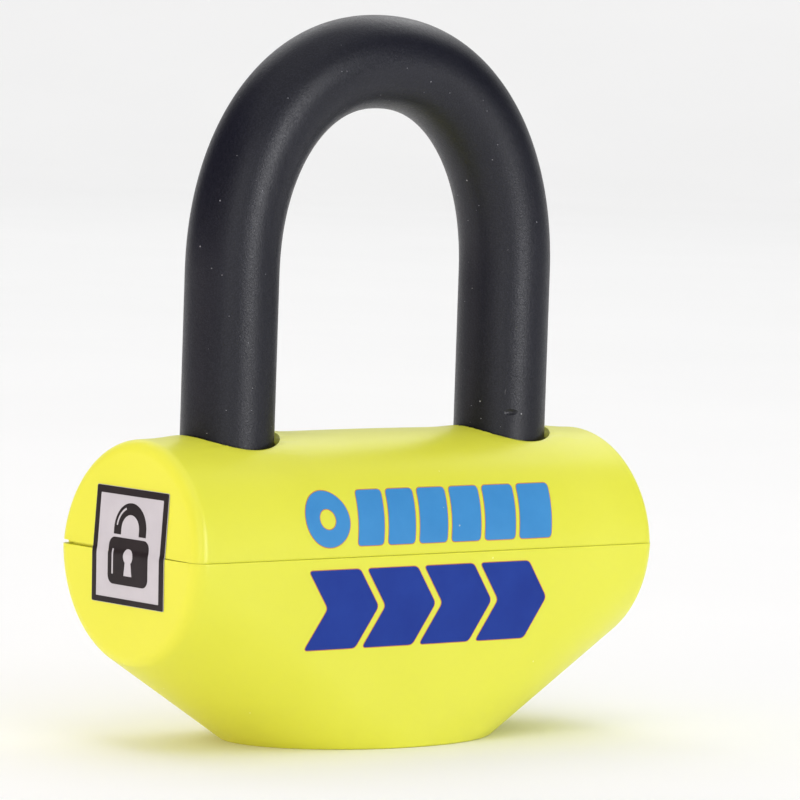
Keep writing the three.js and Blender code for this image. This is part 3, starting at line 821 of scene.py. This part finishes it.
def layer(name, verts, faces, place, thick, mat):
    """A thin closed layer: place((u, v), d) gives the point at height d over the surface below."""
    n = len(verts)
    V = [place(p, thick) for p in verts] + [place(p, -0.02) for p in verts]
    F = [tuple(f) for f in faces] + [tuple(n + i for i in reversed(f)) for f in faces]
    count = {}
    for f in faces:
        for a, b in zip(f, f[1:] + f[:1]):
            count[(a, b)] = 1
    for a, b in list(count):
        if (b, a) not in count:
            F.append((b, a, n + a, n + b))
    o = obj_from(name, V, F, smooth=False)
    fix_normals(o)
    finish_mesh_thin(o)
    use(o, mat)
    return o


def finish_mesh_thin(o):
    bm = bmesh.new()
    bm.from_mesh(o.data)
    bmesh.ops.recalc_face_normals(bm, faces=bm.faces)
    for e in bm.edges:
        e.smooth = len(e.link_faces) == 2 and e.calc_face_angle(0.0) < math.radians(35)
    for f in bm.faces:
        f.smooth = True
    bm.transform(Matrix.Scale(MM, 4))
    bm.to_mesh(o.data)
    bm.free()


LZ0, LZ1, LY = -8.9, 11.0, 10.1
LABEL_Y = -0.6
steps = [-8 + 0.5 * i for i in range(38)] + [-0.35, -0.2, -0.05, 0.1, 0.25, 0.4, 0.55]


def on_label(base):
    def place(p, d):
        # u runs along -Y so the sticker reads the right way round from outside
        return (label_x(p[1]) + base - d, LABEL_Y - p[0], AXIS_Z + p[1])
    return place


def offset(poly, d):
    """Polygon moved out by d (counterclockwise)."""
    P = np.array(poly)
    T = np.roll(P, -1, 0) - P
    T /= np.maximum(np.linalg.norm(T, axis=1), 1e-9)[:, None]
    Nn = np.c_[T[:, 1], -T[:, 0]]
    M2 = Nn + np.roll(Nn, 1, 0)
    M2 /= np.maximum((M2 * Nn).sum(1), 0.35)[:, None]
    return [tuple(p) for p in P + M2 * d]


base_poly = rounded(-LY, LY, LZ0, LZ1, 0.35)
v, f = flat_cut([(base_poly, [])], [-5, 0, 5], steps)
label_base = layer("end_label_vinyl", v, f, lambda p, d: (label_x(p[1]) + (0.13 if d < 0 else 0.0), LABEL_Y - p[0], AXIS_Z + p[1]), 0.0, LBL)
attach(label_base, "lock_body")
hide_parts("end_label")

frame_poly = rounded(-LY + 0.06, LY - 0.06, LZ0 + 0.06, LZ1 - 0.06, 0.3)
frame_hole = rounded(-LY + 1.25, LY - 1.35, LZ0 + 1.05, LZ1 - 1.3, 0.12, 3)
v, f = flat_cut([(frame_poly, [frame_hole])], [-5, 0, 5], steps)
label_frame = layer("end_label_border", v, f, on_label(0.0), 0.03, INK_BLACK)
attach(label_frame, "lock_body")


def arc(cx, cz, r, a0, a1, n):
    return [(cx + r * math.cos(math.radians(a0 + (a1 - a0) * i / n)), cz + r * math.sin(math.radians(a0 + (a1 - a0) * i / n))) for i in range(n + 1)]


# pictogram of a padlock: body, bow and a keyhole, with a fine inner highlight line
pz = 1.1
body_p = rounded(-5.6, 5.6, pz - 6.6, pz + 1.4, 1.5, 6)
key_hole = arc(0, pz - 1.7, 1.35, -52, 232, 18) + [(-1.15, pz - 5.0), (1.15, pz - 5.0)]
bow_p = arc(0, pz + 2.9, 4.5, 0, 180, 24) + [(-4.5, pz + 1.9), (-2.5, pz + 1.9)] + list(reversed(arc(0, pz + 2.9, 2.5, 0, 180, 18))) + [(2.5, pz + 1.9), (4.5, pz + 1.9)]
shine = [(-4.55, pz - 4.9), (-4.1, pz - 4.9), (-4.1, pz - 0.6), (-4.55, pz - 0.6)]
shine_bow = arc(0, pz + 2.9, 3.95, 112, 172, 10) + list(reversed(arc(0, pz + 2.9, 3.55, 112, 172, 10)))
v, f = flat_cut([(body_p, [key_hole, shine]), (bow_p, [shine_bow])], [-5, 0, 5], steps)
glyph = layer("end_label_pictogram", v, f, on_label(0.0), 0.03, INK_BLACK)
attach(glyph, "lock_body")

# ------------------------------------------------------------------ front print
from mathutils.bvhtree import BVHTree

trees = []
for o in (up_hull, low_hull):
    bm = bmesh.new()
    bm.from_mesh(o.data)
    trees.append(BVHTree.FromBMesh(bm))
    bm.free()


def on_front(tree, lift):
    def place(p, d):
        loc, nrm, _, _ = tree.ray_cast(Vector((p[0] * MM, -0.05, (AXIS_Z + p[1]) * MM)), Vector((0, 1, 0)))
        q = loc + nrm * (d + (lift if d > 0 else 0)) * MM
        return tuple(q / MM)
    return place


def slant(pts, k=0.16):
    return [(x + k * z, z) for x, z in pts]


def rounded_poly(pts, r, n=4):
    """Corners of a polygon rounded to about r."""
    out = []
    P = [np.array(p, float) for p in pts]
    for i, p in enumerate(P):
        a, b = P[i - 1] - p, P[(i + 1) % len(P)] - p
        la, lb = np.linalg.norm(a), np.linalg.norm(b)
        rr = min(r, la * 0.45, lb * 0.45)
        p0, p1 = p + a / la * rr, p + b / lb * rr
        for j in range(n + 1):
            t = j / n
            out.append(tuple((1 - t) ** 2 * p0 + 2 * t * (1 - t) * p + t * t * p1))
    return out


light_row, dark_row = [], []
# upper row: a ring, then heavy slanted bars
light_row.append((arc(-22.9, 6.5, 4.7, 0, 360, 48)[:-1], [list(reversed(arc(-22.9, 6.5, 1.75, 0, 360, 28)[:-1]))]))
xx = -17.3
for w in (5.6, 5.9, 6.2, 6.5, 6.9, 7.3):
    light_row.append((rounded_poly(slant([(xx, 1.9), (xx + w, 1.9), (xx + w, 11.1), (xx, 11.1)]), 0.8), []))
    xx += w + 1.0
# lower row: heavy chevrons
xx = -27.6
for w in (11.0, 11.0, 11.0, 11.0):
    t = 4.6
    mid = -8.6
    pts = [(xx, -15.6), (xx + w, -15.6), (xx + w + t, mid), (xx + w, -2.0), (xx, -2.0), (xx + t, mid)]
    dark_row.append((rounded_poly(pts, 0.8), []))
    xx += w + 1.6

for nm, row, tree, ink, zs in (
    ("print_light_blue", light_row, trees[0], INK_LIGHT, [2.0 + 0.4 * i for i in range(26)]),
    ("print_dark_blue", dark_row, trees[1], INK_DARK, [-15.9 + 0.6 * i for i in range(25)]),
):
    us = [-30 + 2.0 * i for i in range(32)]
    v, f = flat_cut(row, us, zs)
    o = layer(nm, v, f, on_front(tree, 0.012), 0.03, ink)
    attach(o, "lock_body")
    under = [(offset(out, 0.13), [offset(h, 0.13) for h in holes]) for out, holes in row]
    v, f = flat_cut(under, us, zs)
    o = layer(nm + "_underprint", v, f, on_front(tree, 0.0), 0.02, INK_EDGE)
    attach(o, "lock_body")

# ------------------------------------------------------------------ underside: shutter and screws
def shutter_mesh():
    S = dict(x0=-7.4, x1=9.9, y=7.0, z0=2.7, z1=4.1)
    ring0 = rounded(S["x0"], S["x1"], -S["y"], S["y"], 2.0, 8)
    rings = []
    for off, z in [(0.22, 2.7), (0.06, 2.76), (0.0, 2.92), (0.0, 3.88), (0.06, 4.04), (0.22, 4.1)]:
        rings.append([(x, y, z) for x, y in offset(ring0, -off)])
    o = loft("keyhole_shutter_plate", rings)
    # thumb nib with finger ribs
    nr = []
    base = rounded(7.3, 9.1, -1.1, 1.1, 0.45, 5)
    for off, z in [(0.25, 0.5), (0.07, 0.58), (0.0, 0.75), (0.0, 2.4), (0.0, 2.9)]:
        nr.append([(x, y, z) for x, y in offset(base, -off)])
    boolean(o, loft("tmp_nib", nr), "UNION")
    for x in (7.75, 8.2, 8.65):
        boolean(o, box_obj("tmp_g", x - 0.09, x + 0.09, -1.3, 1.3, 0.3, 0.68))
    # a shallow dished ring on the face that shows in the keyhole
    boolean(o, turned("tmp_d", [(3.9, 2.5), (4.5, 2.5), (4.5, 2.86), (4.2, 2.95), (3.9, 2.86)], 64))
    finish_mesh(o)
    return o


shutter = shutter_mesh()
use(shutter, DARK)
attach(shutter, "shutter")
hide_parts("keyhole_shutter")


def screw_mesh(name, x, y):
    prof = [(0, 0.52), (1.5, 0.50), (2.05, 0.42), (2.42, 0.52), (2.56, 0.72), (2.6, 0.95), (2.6, 1.33), (2.5, 1.45), (1.3, 1.45)]
    z = 1.6
    while z < 6.1:                     # thread: shallow rounded ridges at 0.6 mm pitch
        prof += [(1.12, z), (1.27, z + 0.22), (1.27, z + 0.30), (1.12, z + 0.52)]
        z += 0.6
    prof += [(0.9, 6.4), (0.3, 6.95), (0, 7.0)]
    o = turned(name, prof, 48, x, y)
    # cross recess with tapered wings
    for a in (0, 90):
        c, s = math.cos(math.radians(a)), math.sin(math.radians(a))
        rings = []
        for hw, hl, zz in ((0.36, 1.42, 0.1), (0.34, 1.34, 0.62), (0.22, 0.75, 1.12)):
            rr = []
            for u, v in ((-hl, -hw), (hl, -hw), (hl, hw), (-hl, hw)):
                rr.append((x + u * c - v * s, y + u * s + v * c, zz))
            rings.append(rr)
        boolean(o, loft("tmp_c", rings))
    finish_mesh(o, 40)
    return o


for node, sx, sy in (("cover_screw_front_left", -1, -1), ("cover_screw_front_right", 1, -1), ("cover_screw_rear_left", -1, 1), ("cover_screw_rear_right", 1, 1)):
    o = screw_mesh(node + "_detail", sx * 13.5, sy * 8.9)
    use(o, SCREW_M)
    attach(o, "lock_body")
    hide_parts(node)

# ------------------------------------------------------------------ stage and light
def floor_mesh():
    """A pale sweep: flat under the lock, curving up far behind it."""
    verts, faces = [], []
    nx, ny = 40, 60
    for j in range(ny + 1):
        t = j / ny
        d = -3.0 + 9.0 * t                 # along the view
        z = 0.0 if d < 2.6 else (d - 2.6) ** 2 * 0.42
        for i in range(nx + 1):
            w = -4.5 + 9.0 * i / nx
            p = fwd * d + right * w
            verts.append((p.x, p.y, z))
    for j in range(ny):
        for i in range(nx):
            a = j * (nx + 1) + i
            faces.append((a, a + 1, a + nx + 2, a + nx + 1))
    o = obj_from("studio_floor", verts, faces)
    bm = bmesh.new()
    bm.from_mesh(o.data)
    for f in bm.faces:
        if f.normal.z < 0:
            f.normal_flip()
    bm.to_mesh(o.data)
    bm.free()
    return o


floor = floor_mesh()
fm = Mat("floor_pale")
fcol = fm.ramp(fm.noise(6, 3), [(0.3, lin(250, 250, 250)), (0.7, lin(252, 252, 252))])
fm.set(color=fcol)
fm.b.inputs["Roughness"].default_value = 0.9
fm.b.inputs["Specular IOR Level"].default_value = 0.1
use(floor, fm.m)

world = bpy.data.worlds.new("studio")
bpy.context.scene.world = world
world.use_nodes = True
wt = world.node_tree
bg = wt.nodes["Background"]
bg.inputs[1].default_value = 0.71
world.cycles_visibility.glossy = False
bg.inputs[0].default_value = (1.0, 1.0, 1.0, 1.0)


def area(name, pos, target, size, size_y, power, color=(1, 1, 1), glossy=True, diffuse=True):
    d = bpy.data.lights.new(name, "AREA")
    d.shape, d.size, d.size_y, d.energy, d.color = "RECTANGLE", size, size_y, power, color
    o = bpy.data.objects.new(name, d)
    COL.objects.link(o)
    o.location = pos
    o.rotation_mode = "QUATERNION"
    o.rotation_quaternion = (Vector(target) - Vector(pos)).normalized().to_track_quat("-Z", "Y")
    o.visible_glossy = glossy
    o.visible_diffuse = diffuse
    return o


def at(r_, f_, z_):
    """A place given to the right of, and beyond, the lock as the lens sees it."""
    p = right * r_ + fwd * f_
    return (p.x, p.y, z_)


C = (0, 0, 0.06)
WARM = (1.0, 0.70, 0.60)
# broad fill, then the softboxes whose reflections draw the bar's highlights
area("low_front_fill", at(-0.1, -1.2, 0.06), C, 1.6, 0.12, 1.3, glossy=False)
area("low_left_fill", at(-1.0, -0.35, 0.05), (0, 0, 0.02), 1.1, 0.12, 4.4, (1.0, 0.84, 0.80), glossy=False)
area("low_right_fill", at(1.05, -0.40, 0.05), (0, 0, 0.02), 1.1, 0.12, 4.6, glossy=False)
area("high_front_fill", at(0.15, -0.65, 1.30), C, 0.9, 0.6, 3.0, glossy=False)
area("top_fill", at(0, 0.1, 1.4), C, 1.0, 1.0, 3.0, glossy=False)
area("left_fill", at(-0.80, -1.05, 0.45), C, 0.40, 0.85, 1.7, WARM, glossy=False)
area("left_side_fill", at(-1.2, -0.35, 0.30), C, 0.50, 0.60, 1.3, WARM, glossy=False)
area("right_fill", at(0.88, -0.92, 0.40), C, 0.35, 0.90, 0.2, glossy=False)
area("front_softbox", at(-0.10, -1.4, 0.45), C, 0.60, 0.90, 3.9, diffuse=False)
area("right_softbox", at(0.93, -0.85, 0.30), C, 0.44, 0.80, 11.5, diffuse=False)
area("top_softbox", at(0, -0.35, 1.3), C, 1.5, 1.2, 4.0, diffuse=False)
area("back_softbox", at(-0.1, 0.9, 0.70), C, 0.9, 0.30, 1.5, diffuse=False)
area("back_right_softbox", at(0.45, 0.75, 0.85), C, 0.7, 0.30, 1.4, diffuse=False)
area("back_sweep", at(0.0, 1.7, 2.4), at(0, 2.4, 0.2), 3.2, 1.6, 25.0)

sc = bpy.context.scene
sc.view_settings.view_transform = "Standard"
sc.view_settings.look = "None"
sc.view_settings.exposure = -0.15
sc.view_settings.gamma = 1.0
